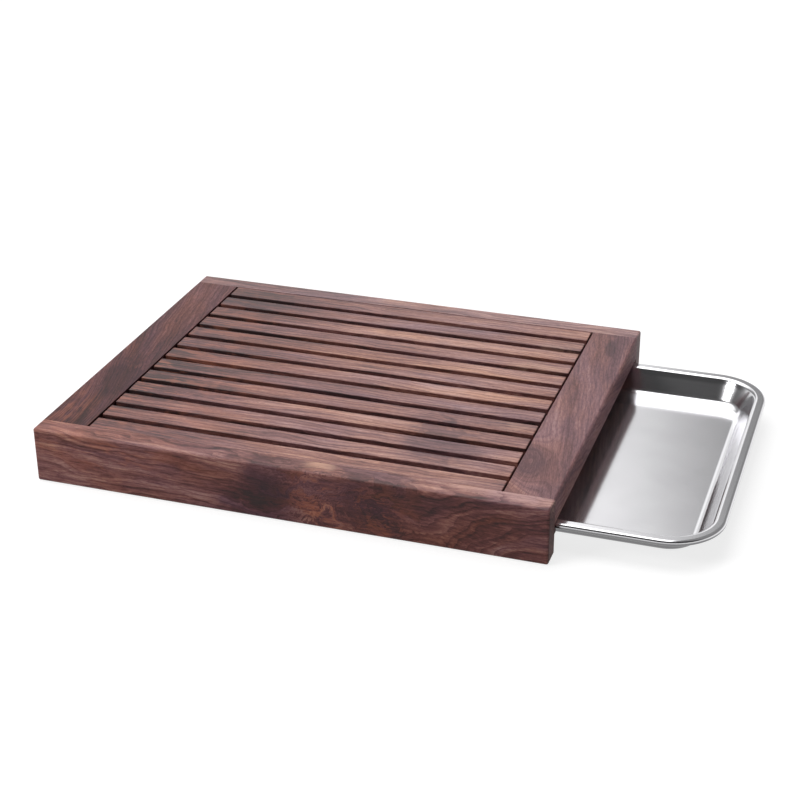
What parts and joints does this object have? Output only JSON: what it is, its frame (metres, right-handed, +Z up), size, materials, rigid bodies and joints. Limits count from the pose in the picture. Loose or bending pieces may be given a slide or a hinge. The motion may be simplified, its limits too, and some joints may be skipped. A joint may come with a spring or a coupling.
{
  "type": "cutting board with drawer tray",
  "caption": "Slatted hardwood cutting board with a lift-out grille, over a shallow stainless crumb tray that slides out of one end on wooden runners.",
  "frame": {"origin": "on the table, under the middle of the whole object with its tray pulled out as stored", "axes": "+X along the board towards the end the tray slides out of, +Y towards the back rail, +Z up"},
  "size_m": [0.488, 0.302, 0.042],
  "materials": {
    "walnut_frame": "oiled, satin",
    "walnut_slats": "oiled, satin",
    "walnut_inside": "planed, unpolished",
    "beech_dowel": "plain",
    "stainless_sheet": "polished rim, fine satin floor"
  },
  "bodies": {
    "board": {"front_rail": "walnut_frame", "back_rail": "walnut_frame", "left_end_board": "walnut_frame", "right_end_board": "walnut_frame", "left_end_wall": "walnut_frame", "left_ledge": "walnut_inside", "right_ledge": "walnut_inside", "front_runner": "walnut_inside", "back_runner": "walnut_inside", "dowels": "beech_dowel"},
    "grille": {"slat_01": "walnut_slats", "slat_02": "walnut_slats", "slat_03": "walnut_slats", "slat_04": "walnut_slats", "slat_05": "walnut_slats", "slat_06": "walnut_slats", "slat_07": "walnut_slats", "slat_08": "walnut_slats", "slat_09": "walnut_slats", "slat_10": "walnut_slats", "slat_11": "walnut_slats", "slat_12": "walnut_slats", "slat_13": "walnut_slats", "batten_1": "walnut_inside", "batten_2": "walnut_inside", "batten_3": "walnut_inside"},
    "crumb_tray": {"tray": "stainless_sheet"}
  },
  "joints": [
    {"name": "tray_slide", "type": "slide", "parent": "board", "child": "crumb_tray", "axis": [1, 0, 0], "range_m": [-0.11, 0.26]},
    {"name": "grille_lift", "type": "slide", "parent": "board", "child": "grille", "axis": [0, 0, 1], "range_m": [0, 0.08]}
  ]
}
